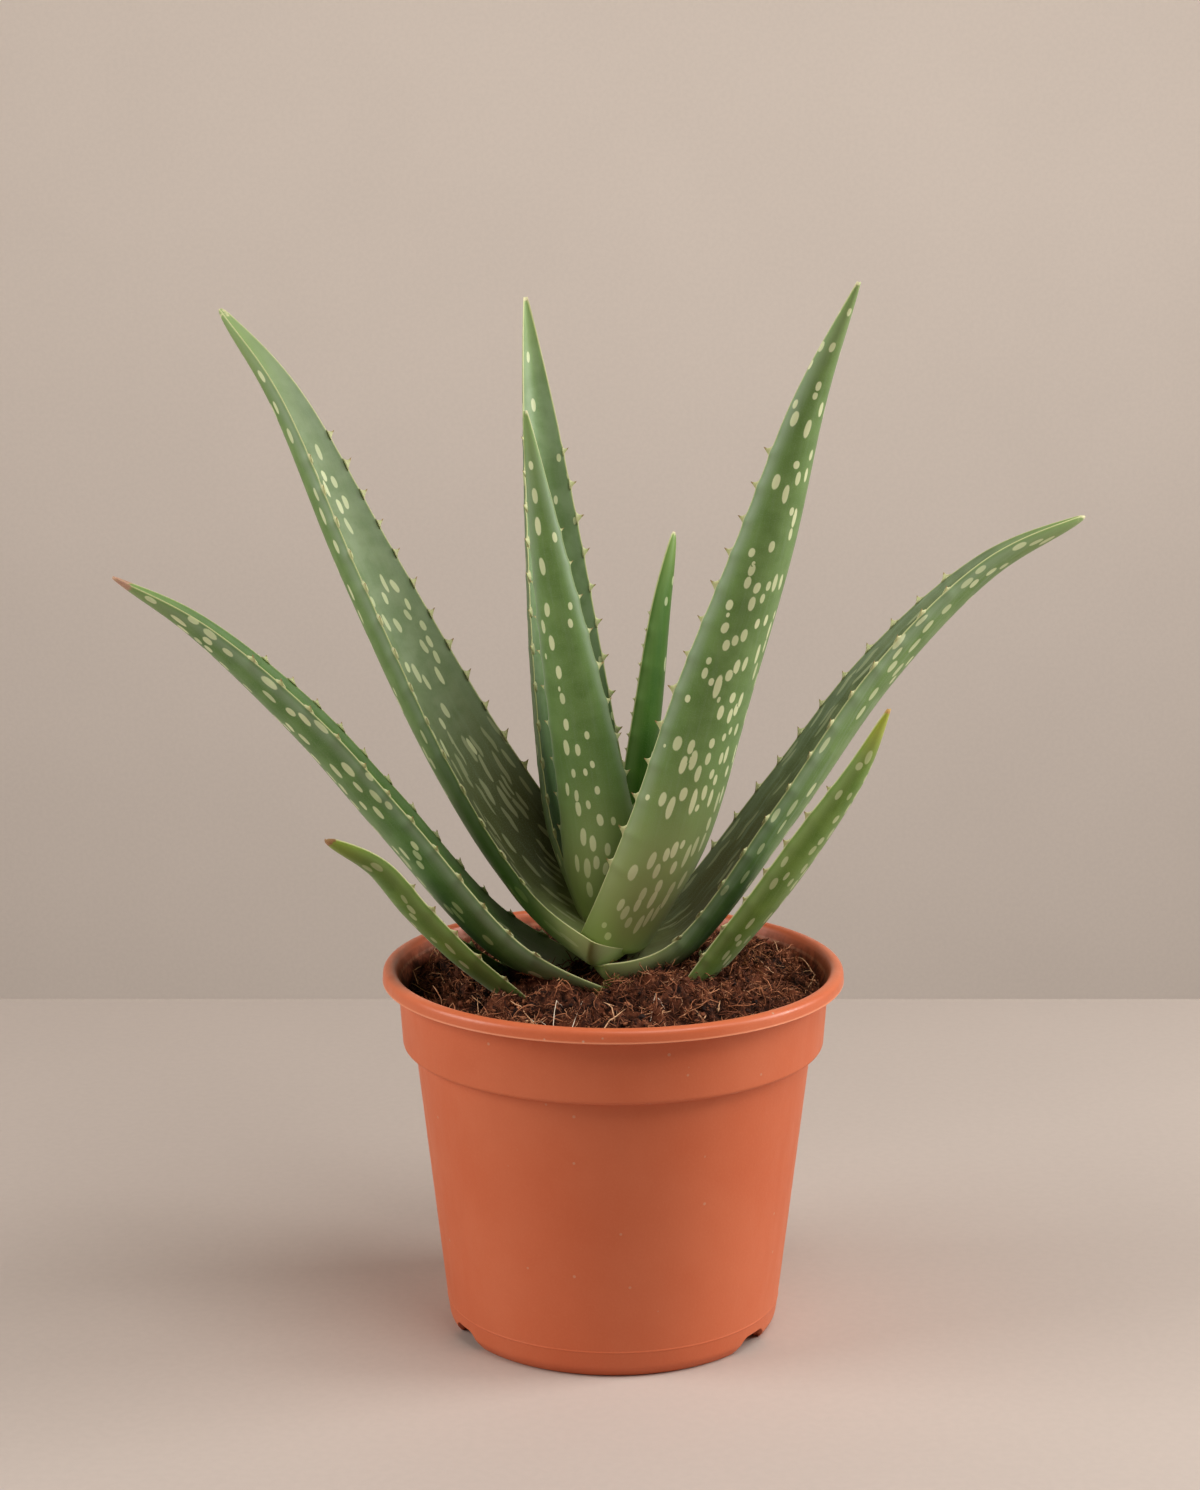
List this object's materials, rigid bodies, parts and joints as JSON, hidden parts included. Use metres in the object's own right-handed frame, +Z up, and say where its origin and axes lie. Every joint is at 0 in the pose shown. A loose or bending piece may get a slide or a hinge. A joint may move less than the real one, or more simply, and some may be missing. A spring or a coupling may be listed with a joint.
{
  "type": "potted aloe plant",
  "caption": "Young spotted aloe rosette of toothed succulent leaves in a tapered plastic nursery pot filled with coir soil.",
  "frame": {"origin": "on the table, under the middle of the object's bounding box; the pot's axis stands within 1 mm of it", "axes": "+Z up along the pot's axis, +X to the right and -Y towards the camera in the picture"},
  "size_m": [0.246, 0.12, 0.2744],
  "materials": {
    "pot": "satin terracotta-coloured moulded plastic",
    "soil": "rough dark coir potting mix with loose pale fibres",
    "stem": "pale fibrous crown, hidden",
    "leaf": "waxy grey-green skin with pale oblong spots and pale margins",
    "fresh_leaf": "waxy yellow-green skin"
  },
  "bodies": {
    "root": {"pot": "pot", "soil": "soil", "stem": "stem", "leaf_inner_young": "leaf", "leaf_front_spotted": "leaf", "leaf_back_tall": "leaf", "leaf_right_tall": "leaf", "leaf_left_tall": "leaf", "leaf_right_long": "leaf", "leaf_left_long": "leaf", "leaf_right_short": "fresh_leaf", "leaf_left_short": "fresh_leaf"}
  },
  "joints": []
}
